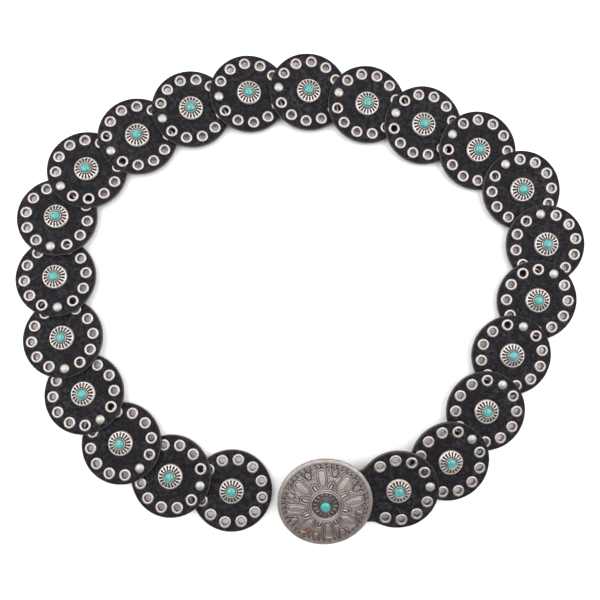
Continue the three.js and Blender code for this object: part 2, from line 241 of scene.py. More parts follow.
def turned(rows, sides, closed=False, at=(0, 0)):
    """Points and faces of a profile of (radius, height) rows turned about Z.

    A row on the axis becomes one point. A closed profile joins its last row to its first."""
    points = []
    rings = []
    for radius, height in rows:
        if radius < 1e-6:
            rings.append([len(points)])
            points.append((at[0], at[1], height))
            continue
        rings.append(list(range(len(points), len(points) + sides)))
        for k in range(sides):
            angle = TURN * k / sides
            points.append((at[0] + radius * math.cos(angle), at[1] + radius * math.sin(angle), height))
    faces = []
    pairs = list(zip(rings, rings[1:]))
    if closed:
        pairs.append((rings[-1], rings[0]))
    for low, high in pairs:
        faces.extend(stitch(low, high))
    return points, faces


def stitch(inner, outer):
    """Faces between two rings, where one may be a single point or have twice as many points as the other."""
    if len(inner) > len(outer):
        inner, outer = outer, inner
    count = len(inner)
    if count == 1:
        return [(inner[0], outer[k], outer[(k + 1) % len(outer)]) for k in range(len(outer))]
    faces = []
    for k in range(count):
        after = (k + 1) % count
        if len(outer) == count:
            faces.append((inner[after], outer[after], outer[k], inner[k]))
            continue
        left, middle, right = (outer[(2 * k + step) % len(outer)] for step in range(3))
        faces += [(inner[k], middle, left), (inner[k], inner[after], middle), (inner[after], right, middle)]
    return faces


def level(flat, height):
    """Array of X, Y and Z from one of X and Y, at one height or at one for each point."""
    return np.column_stack([flat, np.full(len(flat), height)])


def closed_shell(top, rings, bottom):
    """Points, faces and darkness of a body of rings that is closed by a tip at each end.

    A ring is (places, heights, darkness) and a tip is (height, darkness)."""
    tip = np.zeros((1, 2))
    points = []
    dark = []
    index = []
    total = 0
    for flat, height, shade in [(tip, *top), *rings, (tip, *bottom)]:
        count = len(flat)
        index.append(range(total, total + count))
        points.append(level(flat, height))
        dark.append(np.full(count, shade))
        total += count
    faces = []
    for inner, outer in zip(index, index[1:]):
        faces.extend(stitch(inner, outer))
    return np.concatenate(points), faces, np.concatenate(dark)


def ring_points(x_half, y_half, count):
    """Array of X and Y on an oval."""
    angles = np.arange(count) * TURN / count
    return np.stack([x_half * np.cos(angles), y_half * np.sin(angles)], 1)


def smooth_step(low, high, value):
    """Zero below low, one above high and smooth between."""
    t = np.clip((value - low) / (high - low), 0, 1)
    return t * t * (3 - 2 * t)


def ridge(value, middle, half_width):
    """Smooth bump of height one where value is at middle."""
    return np.clip(1 - ((value - middle) / half_width) ** 2, 0, 1) ** 1.5


# Materials

def new_material(name):
    material = bpy.data.materials.new(name)
    material.use_nodes = True
    tree = material.node_tree
    return material, tree, tree.nodes["Principled BSDF"]


def set_inputs(tree, node, inputs):
    """Links each named input to an output socket, or sets it to a plain value."""
    for key, value in inputs.items():
        if isinstance(value, bpy.types.NodeSocket):
            tree.links.new(value, node.inputs[key])
        else:
            node.inputs[key].default_value = value


def add_node(tree, kind, inputs, **settings):
    """Adds a node, sets its properties, and then its inputs."""
    node = tree.nodes.new("ShaderNode" + kind)
    for key, value in settings.items():
        setattr(node, key, value)
    set_inputs(tree, node, inputs)
    return node


def place_in_mm(tree):
    """Position on the belt in millimetres."""
    place = add_node(tree, "NewGeometry", {}).outputs["Position"]
    return add_node(tree, "VectorMath", {0: place, 1: (1 / MM,) * 3}, operation="MULTIPLY").outputs[0]


def noise(tree, place, scale, detail=4.0, roughness=0.55):
    """Grey noise, where scale is the number of its cells to a millimetre."""
    inputs = {"Vector": place, "Scale": scale, "Detail": detail, "Roughness": roughness}
    return add_node(tree, "TexNoise", inputs).outputs["Fac"]


def remap(tree, value, from_low, from_high, to_low=0.0, to_high=1.0):
    """Value moved from one range to another and held inside it."""
    return add_node(tree, "MapRange", {
        "Value": value, "From Min": from_low, "From Max": from_high, "To Min": to_low, "To Max": to_high,
    }).outputs["Result"]


def blend_colours(tree, amount, first, second):
    """First colour where amount is 0 and second where it is 1."""
    ends = [value if isinstance(value, bpy.types.NodeSocket) else (*value, 1.0) for value in (first, second)]
    return add_node(tree, "Mix", {0: amount, 6: ends[0], 7: ends[1]}, data_type="RGBA").outputs[2]


def combine(tree, operation, first, second):
    return add_node(tree, "Math", {0: first, 1: second}, operation=operation).outputs[0]


def bump(tree, height, strength, distance_mm):
    inputs = {"Height": height, "Strength": strength, "Distance": distance_mm * MM}
    return add_node(tree, "Bump", inputs).outputs["Normal"]


def warp(tree, place, scale, amount):
    """Place pushed about by a coloured noise, so that cells come out uneven."""
    cloud = add_node(tree, "TexNoise", {"Vector": place, "Scale": scale, "Detail": 3.0})
    inputs = {0: cloud.outputs["Color"], 1: (amount,) * 3, 2: place}
    return add_node(tree, "VectorMath", inputs, operation="MULTIPLY_ADD").outputs[0]


def cells(tree, place, scale):
    """Distance to the nearest edge of uneven cells."""
    node = add_node(tree, "TexVoronoi", {"Vector": place, "Scale": scale}, feature="DISTANCE_TO_EDGE")
    return node.outputs["Distance"]


def attribute(tree, name):
    return add_node(tree, "Attribute", {}, attribute_name=name).outputs["Fac"]


def leather_material(settings):
    """Black pebbled leather: rubbed paler in patches, rougher on its cut edge and on the flesh side. Its cut
    edge is paler grey, partly its own colour and partly a painted highlight.
    """
    material, tree, shader = new_material("black_leather")
    place = place_in_mm(tree)
    warped = warp(tree, place, 0.5, 1.8)
    pebbles = remap(tree, cells(tree, warped, 0.62), 0.0, 0.3)
    creases = remap(tree, cells(tree, warped, 0.2), 0.0, 0.09, 0.35, 1.0)
    grain = combine(tree, "MULTIPLY", pebbles, creases)
    pores = noise(tree, place, 3.2, 3.0)
    mottle = remap(tree, noise(tree, place, 0.38, 3.0, 0.6), 0.46, 0.62)
    patches = remap(tree, noise(tree, place, 0.04, 2.0), 0.35, 0.65, 0.3, 1.0)
    rubbed = combine(tree, "MULTIPLY", mottle, patches)
    tone = combine(tree, "MULTIPLY", remap(tree, grain, 0.0, 1.0, 0.25, 1.0), rubbed)
    face = blend_colours(tree, tone, settings.colour, settings.dusty)
    wall = attribute(tree, "wall")
    speckle = remap(tree, pores, 0.3, 0.7)
    # The cut edge's own grey, made paler still as a painted highlight along the edge
    edge_colour_and_highlight = blend_colours(tree, speckle, (0.035, 0.032, 0.031), (0.12, 0.11, 0.105))
    outside = blend_colours(tree, wall, face, edge_colour_and_highlight)
    flesh_colour = blend_colours(tree, speckle, (0.016, 0.014, 0.013), (0.045, 0.04, 0.037))
    colour = blend_colours(tree, attribute(tree, "flesh"), outside, flesh_colour)
    height = combine(tree, "ADD", grain, combine(tree, "MULTIPLY", pores, 0.2))
    set_inputs(tree, shader, {
        "Base Color": colour,
        "Roughness": combine(
            tree, "ADD", remap(tree, tone, 0.0, 1.0, 0.5, 0.66), combine(tree, "MULTIPLY", wall, 0.15)),
        "Specular IOR Level": 0.14,
        "Normal": bump(tree, height, 0.8, 0.35),
    })
    return material


def silver_material(name, silver, oxide, stains):
    """Antiqued silver: bright where the relief is rubbed, dark where the oxide stays in the recesses."""
    material, tree, shader = new_material(name)
    place = place_in_mm(tree)
    recess = attribute(tree, "recess")
    cloud = noise(tree, place, 0.22, 5.0)
    speckle = noise(tree, place, 1.5, 4.0, 0.65)
    uneven = combine(tree, "ADD", remap(tree, cloud, 0.3, 0.7, -0.12, 0.16),
                     remap(tree, speckle, 0.3, 0.7, -0.2, 0.2))
    dark = add_node(tree, "Math", {0: recess, 1: uneven}, operation="ADD", use_clamp=True).outputs[0]
    plate = blend_colours(tree, dark, silver, oxide)
    stain = combine(tree, "MULTIPLY", attribute(tree, "stain"), remap(tree, cloud, 0.42, 0.62))
    scratches = add_node(tree, "TexNoise", {"Vector": place, "Scale": 5.5, "Detail": 3.0, "Distortion": 0.6})
    set_inputs(tree, shader, {
        "Base Color": blend_colours(tree, stain, plate, stains),
        "Metallic": 1.0,
        "Roughness": combine(tree, "ADD", remap(tree, dark, 0.0, 1.0, 0.38, 0.66),
                             remap(tree, speckle, 0.3, 0.7, 0.0, 0.08)),
        "Normal": bump(tree, scratches.outputs["Fac"], 0.25, 0.05),
    })
    return material


def nickel_material(name, colour, dull):
    """Nickel plate: fine scratches, faintly tarnished in patches, and painted brown shade down the barrels
    of the eyelets.
    """
    material, tree, shader = new_material(name)
    place = place_in_mm(tree)
    cloud = noise(tree, place, 0.7, 4.0)
    tarnish_and_hole_shade = tuple(c * f for c, f in zip(colour, (1.0, 0.6, 0.5)))
    tinted = blend_colours(tree, remap(tree, cloud, 0.45, 0.75, 0.0, 0.3), tuple(colour), tarnish_and_hole_shade)
    set_inputs(tree, shader, {
        # The recess value paints brown shade down the eyelet barrels; the same brown, mixed in lightly,
        # gives the faintly tarnished patches
        "Base Color": blend_colours(tree, attribute(tree, "recess"), tinted, tarnish_and_hole_shade),
        "Metallic": 1.0,
        "Roughness": remap(tree, cloud, 0.3, 0.7, dull - 0.06, dull + 0.1),
        "Normal": bump(tree, noise(tree, place, 7.0, 2.0), 0.12, 0.02),
    })
    return material


def turquoise_material(colour):
    """Polished turquoise, clouded paler and greener, with faint dark veins and painted shade round its edge.
    """
    material, tree, shader = new_material("turquoise")
    place = place_in_mm(tree)
    cloud = noise(tree, place, 0.5, 4.0)
    pale = (colour[0] + 0.03, colour[1] + 0.1, colour[2] + 0.09)
    edge_shade = (colour[0] * 0.5, colour[1] * 0.42, colour[2] * 0.38)
    clouded = blend_colours(tree, remap(tree, cloud, 0.38, 0.66), tuple(colour), pale)
    # Painted shade: the stone is coloured darker towards its edge
    clouded = blend_colours(tree, attribute(tree, "girdle"), clouded, edge_shade)
    vein = remap(tree, cells(tree, warp(tree, place, 0.9, 1.4), 0.34), 0.0, 0.035, 0.55, 0.0)
    set_inputs(tree, shader, {
        "Base Color": blend_colours(tree, vein, clouded, (0.02, 0.075, 0.07)),
        "Roughness": 0.16,
        "Coat Weight": 0.4,
        "Coat Roughness": 0.06,
    })
    return material


MATERIALS = {}
BUCKLE_STAIN = (0.2, 0.11, 0.065)
CONCHO_SILVER = (0.53, 0.485, 0.47)
CONCHO_OXIDE = (0.016, 0.014, 0.014)
CONCHO_STAIN = (0.3, 0.24, 0.22)
RIVET_COLOUR = (0.40, 0.39, 0.365)


def make_materials(scene):
    """Makes each finish once, from the settings."""
    if MATERIALS:
        return
    buckle = scene.belt_buckle
    MATERIALS.update({
        "black_leather": leather_material(scene.belt_leather),
        "antique_silver": silver_material(
            "antique_silver", tuple(buckle.silver), tuple(buckle.oxide), BUCKLE_STAIN),
        "concho_silver": silver_material("concho_silver", CONCHO_SILVER, CONCHO_OXIDE, CONCHO_STAIN),
        "nickel": nickel_material("nickel", tuple(scene.belt_hardware.colour), 0.42),
        "rivet_nickel": nickel_material("rivet_nickel", RIVET_COLOUR, 0.45),
        "turquoise": turquoise_material(tuple(buckle.stone)),
    })


# Leather

EYELET_HOLE_SLACK = 0.2
NEXT_RIVET_HOLE = 2.5
OWN_RIVET_HOLE = 1.9
DISC_SPACING = 1.7  # between the points of a disc's mesh
TAB_SPACING = 1.2
ROW_STEP = 0.87  # of the spacing, for even triangles
NECK_FLARE = 3.2
NECK_LENGTH = 6.0
NECK_EXTRA = 2.0  # on the outer side of the neck
TAB_TAPER = 0.2
SLACK_WAVES = ((0.07, 34), (0.05, 21), (0.03, 12))  # height and length


def contour(points, normals):
    """Closed outline with normals that point away from the leather."""
    return {"points": np.asarray(points, float), "normals": np.asarray(normals, float)}


def round_hole(x, y, radius, count=28):
    """Outline of a hole; its normals point into the hole, away from the leather."""
    ring = ring_points(1, 1, count)
    return contour(ring * radius + (x, y), -ring)


def round_outline(radius):
    ring = ring_points(1, 1, 120)
    return contour(ring * radius, ring)


def tab_outline(radius, length):
    """Outline of the last disc: most of a circle, flared necks and a straight tab that is folded later."""
    half = TAB_W / 2
    join_angle = math.asin(min((half + NECK_FLARE) / radius, 0.99))
    arc = np.linspace(join_angle, TURN - join_angle, 110)
    round_part = np.stack([radius * np.cos(arc), radius * np.sin(arc)], 1)
    start = round_part[0]
    neck_x = radius * math.cos(join_angle) + NECK_LENGTH
    t = np.linspace(0, 1, 12)[1:, None]
    slope = np.array([math.sin(join_angle), -math.cos(join_angle)]) * 5.0
    end = np.array([neck_x, half])
    h1, h2, h3 = 2 * t**3 - 3 * t**2 + 1, t**3 - 2 * t**2 + t, -2 * t**3 + 3 * t**2
    h4 = t**3 - t**2
    neck = h1 * start + h2 * slope * 1.6 + h3 * end + h4 * np.array([7.0, 0])
    edge_x = np.arange(neck_x + 1.0, length - 1.5, 1.0)
    side = np.stack([edge_x, np.full(len(edge_x), half)], 1)
    corner = np.array([[length - 0.9, half - 0.2], [length - 0.2, half - 0.9]])
    tip_y = np.arange(half - 2.0, 0, -1.5)
    tip = np.stack([np.full(len(tip_y), length), tip_y], 1)
    inner_side = np.concatenate([neck, side, corner, tip])
    inner_side[:, 1] *= 1 - TAB_TAPER * smooth_step(BAR_FROM_DISC - 3, BAR_FROM_DISC + 6, inner_side[:, 0])
    outer_side = inner_side.copy()
    x = outer_side[:, 0]
    outer_side[:, 1] += NECK_EXTRA * smooth_step(15, 21.5, x) * (1 - smooth_step(21.5, 25.5, x))
    outline = np.concatenate([round_part, inner_side * (1, -1), outer_side[::-1]])
    before = np.roll(outline, 1, 0)
    after = np.roll(outline, -1, 0)
    along = after - before
    normals = np.stack([along[:, 1], -along[:, 0]], 1)
    normals /= np.linalg.norm(normals, axis=1)[:, None] + 1e-9
    return contour(outline, normals)


def inside(points, outline):
    """Which points lie inside a closed outline."""
    result = np.zeros(len(points), bool)
    after = np.roll(outline, -1, 0)
    for (ax, ay), (bx, by) in zip(outline, after):
        crosses = (ay > points[:, 1]) != (by > points[:, 1])
        with np.errstate(divide="ignore", invalid="ignore"):
            at = (bx - ax) * (points[:, 1] - ay) / (by - ay) + ax
        result ^= crosses & (points[:, 0] < at)
    return result


def on_sheet(points, rings):
    """Which points lie inside the first ring and outside all the others."""
    keep = inside(points, rings[0])
    for ring in rings[1:]:
        keep &= ~inside(points, ring)
    return keep


def leather_sheet(outline, holes, rounding, spacing):
    """Points, faces, and the wall and flesh values of a flat sheet with rounded edges and pierced holes."""
    contours = [outline, *holes]
    insets = [c["points"] - c["normals"] * rounding for c in contours]
    low = insets[0].min(0)
    high = insets[0].max(0)
    xs, ys = np.meshgrid(np.arange(low[0], high[0], spacing), np.arange(low[1], high[1], spacing * ROW_STEP))
    xs[1::2] += spacing / 2
    grid = np.stack([xs.ravel(), ys.ravel()], 1)
    keep = on_sheet(grid, insets)
    for ring in insets:
        gap = np.linalg.norm(grid[:, None] - ring[None], axis=2).min(1)
        keep &= gap > spacing * 0.6
    flat = np.concatenate([*insets, grid[keep]])
    edges = []
    start = 0
    for ring in insets:
        count = len(ring)
        edges.extend((start + k, start + (k + 1) % count) for k in range(count))
        start += count
    verts, _, triangles, origins, _, _ = delaunay_2d_cdt([Vector(p) for p in flat], edges, [], 0, 1e-7)
    flat = np.array([tuple(v) for v in verts])
    new_index = {old: new for new, olds in enumerate(origins) for old in olds}
    triangles = np.array([t for t in triangles if len(t) == 3])
    triangles = triangles[on_sheet(flat[triangles].mean(1), insets)]

    count = len(flat)
    points = [level(flat, HALF_T), level(flat, -HALF_T)]
    faces = [tuple(t) for t in triangles] + [tuple(t[::-1] + count) for t in triangles]
    total = 2 * count
    wall = [np.zeros(2 * count)]
    flesh = [np.zeros(count), np.ones(count)]

    start = 0
    turns = np.radians([30, 60, 90])
    for piece, inset in zip(contours, insets):
        size = len(inset)
        rows = [[new_index[start + k] for k in range(size)]]
        sections = [(math.sin(t), HALF_T - rounding + rounding * math.cos(t)) for t in turns]
        sections += [(out, -z) for out, z in sections[::-1]]
        for out, z in sections:
            rows.append(list(range(total, total + size)))
            points.append(level(inset + piece["normals"] * rounding * out, z))
            wall.append(np.full(size, 1.0 if out > 0.8 else 0.35))
            flesh.append(np.zeros(size))
            total += size
        rows.append([count + new_index[start + k] for k in range(size)])
        way = -1 if piece is outline else 1
        for upper, lower in zip(rows, rows[1:]):
            faces.extend(face[::way] for face in stitch(upper, lower))
        start += size
    return np.concatenate(points), faces, np.concatenate(wall), np.concatenate(flesh)


def slack(points, seed):
    """Slight waves of worn leather, the same on both faces."""
    rng = np.random.default_rng(seed)
    x, y = points[:, 0], points[:, 1]
    wave = np.zeros(len(points))
    for size, length in SLACK_WAVES:
        heading, phase = rng.uniform(0, TURN, 2)
        wave += size * np.sin(TURN * (x * math.cos(heading) + y * math.sin(heading)) / length + phase)
    return wave


def tab_path():
    """Lengths along the tab, and where its middle then is: X, Z and the slope in radians."""
    bar_z = TAB_RISE - FOLD_RADIUS
    rise = np.linspace(0, 1, 12)
    xs = list(TAB_LEAVES + (BAR_FROM_DISC - TAB_LEAVES) * rise)
    zs = list(TAB_RISE * smooth_step(0, 1, rise))
    for turn in np.linspace(0, math.pi, 16)[1:]:
        xs.append(BAR_FROM_DISC + FOLD_RADIUS * math.sin(turn))
        zs.append(bar_z + FOLD_RADIUS * math.cos(turn))
    back = np.linspace(0, 1, 10)[1:]
    under = bar_z - FOLD_RADIUS
    xs += list(BAR_FROM_DISC + (TAB_END - BAR_FROM_DISC) * back)
    zs += list(under + (TAB_END_Z - under) * smooth_step(0, 0.75, back))
    xs, zs = np.array(xs), np.array(zs)
    steps = np.hypot(np.diff(xs), np.diff(zs))
    lengths = TAB_LEAVES + np.concatenate([[0], np.cumsum(steps)])
    slopes = np.unwrap(np.arctan2(np.gradient(zs), np.gradient(xs)))
    return lengths, xs, zs, slopes


def fold_tab(points):
    """Bends the flat tab over the loop bar and back under the disc."""
    lengths, xs, zs, slopes = tab_path()
    length = np.clip(points[:, 0], TAB_LEAVES, lengths[-1])
    x = np.interp(length, lengths, xs)
    z = np.interp(length, lengths, zs)
    slope = np.interp(length, lengths, slopes)
    thinner = 1 - TAB_T / LEATHER_T
    lift = points[:, 2] * (1 - thinner * smooth_step(TAB_LEAVES + 3, BAR_FROM_DISC - 2, points[:, 0]))
    bent = np.column_stack([x - np.sin(slope) * lift, points[:, 1], z + np.cos(slope) * lift])
    return np.where((points[:, 0] > TAB_LEAVES)[:, None], bent, points)


def disc_holes(places, eyelet_hole):
    """Holes for the eyelets, for the disc's own rivet and for the next disc's rivet, which leans in it."""
    holes = [round_hole(*eyelet_place(p), eyelet_hole) for p in places]
    holes.append(round_hole(*eyelet_place(0), NEXT_RIVET_HOLE, 20))
    holes.append(round_hole(*eyelet_place(EYELET_PLACES // 2), OWN_RIVET_HOLE, 20))
    return holes


def places_of(index):
    """Places of the eyelets of one disc."""
    return {0: FREE_END_EYELETS, LAST: BUCKLE_END_EYELETS}.get(index, MIDDLE_EYELETS)


def disc_name(stem, index):
    return f"{stem}_{index + 1:02d}"


class BELT_OT_leather_discs(bpy.types.Operator):
    """Build the leather discs, the last one with its folded tab"""
    bl_idname = "belt.leather_discs"
    bl_label = "Leather discs"

    def execute(self, context):
        scene = context.scene
        make_materials(scene)
        settings = scene.belt_leather
        radius = settings.disc_diameter / MM / 2
        rounding = settings.edge_round / MM
        hole = scene.belt_hardware.eyelet_hole / MM / 2 + EYELET_HOLE_SLACK
        for i in range(DISC_COUNT):
            outline = round_outline(radius)
            holes = disc_holes(places_of(i), hole)
            if i == LAST:
                outline = tab_outline(radius, tab_path()[0][-1])
                holes = [h for h in holes if h["points"][:, 0].mean() < PITCH / 2 - 0.1]
                holes.append(round_hole(TAB_RIVET_AT + 0.3, 0, OWN_RIVET_HOLE, 20))
            spacing = TAB_SPACING if i == LAST else DISC_SPACING
            points, faces, wall, flesh = leather_sheet(outline, holes, rounding, spacing)
            points[:, 2] += slack(points, 100 + i) * (1 - smooth_step(12, 18, points[:, 0]) * (i == LAST))
            if i == LAST:
                points = fold_tab(points)
            piece = make_piece(
                disc_name("leather_disc", i), points, faces, FRAMES[i], "black_leather",
                {"wall": wall, "flesh": flesh})
            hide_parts(disc_name("disc", i))
        return {"FINISHED"}


# Eyelets and rivets

EYELET_SIDES = 28
CAP_RADIUS = 3.5


def eyelet_rows(outer, hole):
    """Closed profile of an eyelet: barrel, rolled rim on the face and a flat roll on the back."""
    top = HALF_T - 0.03
    low = -HALF_T + 0.03
    return [
        (hole, low - 0.1), (hole, top), (hole + 0.06, top + 0.24), (hole + 0.22, top + 0.42),
        (hole + 0.5, top + 0.53), (hole + 0.85, top + 0.52), (outer - 0.42, top + 0.42),
        (outer - 0.14, top + 0.24), (outer, top + 0.05), (outer - 0.06, top), (hole + 0.18, top),
        (hole + 0.18, low), (outer - 0.7, low), (outer - 0.6, low - 0.12), (outer - 0.8, low - 0.24),
        (hole + 0.3, low - 0.26),
    ]


class BELT_OT_eyelets(bpy.types.Operator):
    """Build the rolled eyelets of every disc"""
    bl_idname = "belt.eyelets"
    bl_label = "Eyelets"

    def execute(self, context):
        make_materials(context.scene)
        settings = context.scene.belt_hardware
        rows = eyelet_rows(settings.eyelet_diameter / MM / 2, settings.eyelet_hole / MM / 2)
        # Painted shade: brown and darkest deep in the barrel, none on the rolled rims
        barrel = [1.0, 0.35, 0.05] + [0.0] * (len(rows) - 3)  # dark down the hole and clean on both rims
        for i in range(DISC_COUNT):
            parts = [turned(rows, EYELET_SIDES, closed=True, at=eyelet_place(p)) for p in places_of(i)]
            points, faces = join_parts(parts)
            hole_shade = np.tile(np.repeat(barrel, EYELET_SIDES), len(parts))
            make_piece(disc_name("eyelets", i), points, faces, FRAMES[i], "nickel", {"recess": hole_shade})
        return {"FINISHED"}


def rivet_rows(radius):
    """Profile of a rivet from its flat cap below to the domed head above."""
    back = -HALF_T - LAP_GAP - LEATHER_T - RIVET_SLACK
    top = HALF_T + 1.45
    return [
        (0, back - 0.8), (CAP_RADIUS - 0.5, back - 0.8), (CAP_RADIUS - 0.15, back - 0.66),
        (CAP_RADIUS, back - 0.4), (CAP_RADIUS, back - 0.1), (CAP_RADIUS - 0.1, back), (SHANK_RADIUS, back),
        (SHANK_RADIUS, HALF_T - 0.05), (radius - 0.1, HALF_T - 0.05), (radius, HALF_T + 0.1),
        (radius, HALF_T + 0.32), (radius - 0.12, HALF_T + 0.5), (radius - 0.5, HALF_T + 0.82),
        (radius - 1.2, HALF_T + 1.14), (radius - 2.1, HALF_T + 1.36), (0.4, top - 0.01), (0, top),
    ]


class BELT_OT_rivets(bpy.types.Operator):
    """Build the rivets that join the discs and the hidden one in the tab"""
    bl_idname = "belt.rivets"
    bl_label = "Rivets"

    def execute(self, context):
        make_materials(context.scene)
        radius = context.scene.belt_hardware.rivet_diameter / MM / 2
        for i in range(1, DISC_COUNT):
            points, faces = turned(rivet_rows(radius), 36, at=(-PITCH / 2, 0))
            make_piece(
                disc_name("rivet", i), points, faces, FRAMES[i], "nickel", {"recess": 0}, "rivet_nickel")
        self.add_tab_rivet()
        return {"FINISHED"}

    def add_tab_rivet(self):
        top = HALF_T + TAB_RISE * 0.75 + 0.3 + 0.9
        bottom = TAB_END_Z - TAB_T / 2 - 0.3 - 0.8 - 0.8
        rows = [
            (0, bottom), (2.1, bottom), (2.45, bottom + 0.15), (2.5, bottom + 0.6), (2.4, bottom + 0.8),
            (SHANK_RADIUS, bottom + 0.8), (SHANK_RADIUS, top - 0.9), (2.45, top - 0.9), (2.5, top - 0.6),
            (2.3, top - 0.2), (1.6, top - 0.05), (0, top),
        ]
        points, faces = turned(rows, 32, at=(TAB_RIVET_AT, 0))
        piece = make_piece(
            "tab_rivet_head", points, faces, FRAMES[LAST], "nickel", {"recess": 0}, "rivet_nickel")
        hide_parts("tab_rivet")


# Conchos

CONCHO_SECTORS = 198
CONCHO_DOME = (  # radius and height
    (0.0, 2.35), (3.4, 2.35), (4.2, 2.25), (5.2, 2.05), (6.0, 1.8), (6.8, 1.5), (7.5, 1.12), (7.95, 0.7))
NOTCH_FROM = 3.75
NOTCH_TO = 6.3


def concho_height(x, y, settings):
    """Height of the concho above its seat and how dark the oxide is there."""
    count = settings.notches
    stone = settings.stone_diameter / MM / 2
    radius = np.hypot(x, y)
    angle = np.arctan2(y, x)
    rows = np.array(CONCHO_DOME)
    height = np.interp(radius, rows[:, 0], rows[:, 1]) + 0.2 * ridge(radius, 7.3, 0.55)
    off = (angle * count / TURN + 0.5) % 1 - 0.5
    sideways = np.abs(off) * TURN / count * radius
    half = np.interp(radius, (3.9, 6.4), (0.34, 0.62))
    reach = np.hypot(sideways / half, np.clip(radius - NOTCH_TO, 0, 9) / 0.6)
    notch = (1 - smooth_step(0.6, 1.15, reach)) * smooth_step(NOTCH_FROM, NOTCH_FROM + 0.2, radius)
    moat = smooth_step(4.2, 3.95, radius) * smooth_step(stone + 0.24, stone + 0.4, radius)
    height -= 0.95 * notch + 0.7 * moat * (1 - notch)
    cup = ridge(radius, stone + 0.14, 0.3)
    height += 0.6 * cup
    dark = np.clip(1.2 * notch + 0.9 * moat * (1 - cup) + 0.1 * ridge(radius, 6.95, 0.2), 0, 1)
    return height, dark


def concho_mesh(settings):
    """Points, faces and darkness of a concho, closed below by a flat back."""
    rim = settings.diameter / MM / 2
    rings = []
    for radius in (0.8, 2.0, 2.8, *np.linspace(3.0, 7.0, 27), 7.15, 7.35, 7.55, 7.7, 7.83, rim):
        flat = ring_points(radius, radius, CONCHO_SECTORS)
        rings.append((flat, *concho_height(flat[:, 0], flat[:, 1], settings)))
    for radius, height in ((rim, 0.0), (rim - 0.4, -0.02)):
        rings.append((ring_points(radius, radius, CONCHO_SECTORS), height, 0.5))
    return closed_shell((1.9, 0.0), rings, (-0.02, 0.5))


def stone_mesh(radius, low, high, sides=48):
    """Cabochon: a short straight girdle under a rounded dome."""
    rows = [(0, low), (radius, low), (radius, low + 0.3)]
    for k in range(1, 12):
        turn = math.pi / 2 * k / 12
        rows.append((radius * math.cos(turn) ** 0.85, low + 0.3 + (high - low - 0.3) * math.sin(turn)))
    rows.append((0, high))
    return turned(rows, sides)


def girdle(points, radius):
    """One near the edge of a stone, where its painted shade is darkest, and zero over its crown."""
    return [float(smooth_step(0.72, 1.0, math.hypot(p[0], p[1]) / radius)) for p in points]


class BELT_OT_conchos(bpy.types.Operator):
    """Build a notched concho with its turquoise and its back screw on every disc"""
    bl_idname = "belt.conchos"
    bl_label = "Conchos"

    def execute(self, context):
        make_materials(context.scene)
        settings = context.scene.belt_concho
        points, faces, dark = concho_mesh(settings)
        stone = settings.stone_diameter / MM / 2
        rng = np.random.default_rng(7)
        for i in range(DISC_COUNT):
            turn = Matrix.Rotation(rng.uniform(0, TURN), 4, "Z")
            seat = FRAMES[i] @ Matrix.Translation((0, 0, CONCHO_SEAT - 0.25)) @ turn
            plate = make_piece(
                disc_name("concho_plate", i), points, faces, seat, "concho_silver",
                {"recess": dark, "stain": 0.25})
            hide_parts(disc_name("concho", i))
            stone_points, stone_faces = stone_mesh(stone - 0.12, 1.6, 3.95)
            make_piece(
                disc_name("turquoise", i), stone_points, stone_faces, seat, "turquoise",
                {"girdle": girdle(stone_points, stone)})
            screw = turned([
                (0, -HALF_T - 0.7), (1.6, -HALF_T - 0.66), (2.3, -HALF_T - 0.45), (2.5, -HALF_T - 0.15),
                (2.4, -HALF_T + 0.05), (0, -HALF_T + 0.1)], 24)
            make_piece(
                disc_name("concho_screw", i), *screw, FRAMES[i], "nickel", {"recess": 0}, "rivet_nickel")
        return {"FINISHED"}


# Buckle

PATTERN_RADIUS = 27.7  # of the rim, in the even coordinates that the relief is drawn in
INNER_SECTORS = 320
OUTER_SECTORS = 640
BAND_RADIUS = 11.0
STONE_RADIUS = 3.45
CUP_RADIUS = 3.65
ROPE_RADIUS = 4.7
BEAD_RADIUS = 6.3
BEADS = 16
PETAL_MIDDLE = 16.9
PETAL_HALF_LENGTH = 5.9
PETAL_HALF_WIDTH = 2.75
ARCH_MIDDLE = 13.2
FAN_ROOT = 15.6
LEAF_MIDDLE = 20.9
SCROLL_MIDDLE = 24.05
SCROLLS = 48


def dome_height(share):
    """Height of the plain dome, where share is 0 in the middle and 1 at the rim."""
    return 1.55 + 4.75 * (1 - np.clip(share, 0, 1) ** 2)


def petal_frame(px, py, count, offset):
    """Coordinates of a point in the frame of the nearest of count spokes: out along it and across it."""
    angle = np.arctan2(py, px) - offset
    pitch = TURN / count
    local = angle - np.round(angle / pitch) * pitch
    radius = np.hypot(px, py)
    return radius * np.cos(local), radius * np.sin(local)


def petal_relief(px, py, count):
    """Long petals, pointed inside and blunt outside: a light body, a groove, a raised outline, a groove."""
    out, side = petal_frame(px, py, count, 0.0)
    along = (out - PETAL_MIDDLE) / PETAL_HALF_LENGTH
    across = np.abs(side) / PETAL_HALF_WIDTH
    inner = (across ** 1.3 + np.clip(-along, 0, 9) ** 2.6) ** 0.77
    outer = (across ** 2.4 + np.clip(along, 0, 9) ** 4.0) ** 0.4
    reach = np.where(along < 0, inner, outer)
    body = 1 - smooth_step(0.52, 0.66, reach)
    line = ridge(reach, 0.9, 0.15)
    grooves = 0.7 * ridge(reach, 0.73, 0.11) + ridge(reach, 1.08, 0.14)
    return 0.36 * body + 0.34 * line - 0.26 * grooves, 0.46 * grooves - 0.16 * line - 0.2 * body, reach


def arch_relief(px, py, count):
    """Small arches between the roots of the petals, open towards the middle."""
    out, side = petal_frame(px, py, count, math.pi / count)
    gap = np.hypot(side, np.clip(out - ARCH_MIDDLE, 0, 99)) + 9 * np.clip(10.9 - out, 0, 1)
    arch = ridge(gap, 1.72, 0.42) + ridge(gap, 0.0, 0.5)
    grooves = ridge(gap, 1.02, 0.5) + 0.7 * ridge(gap, 2.3, 0.34)
    return 0.36 * arch - 0.32 * grooves, 0.75 * grooves - 0.2 * arch, gap


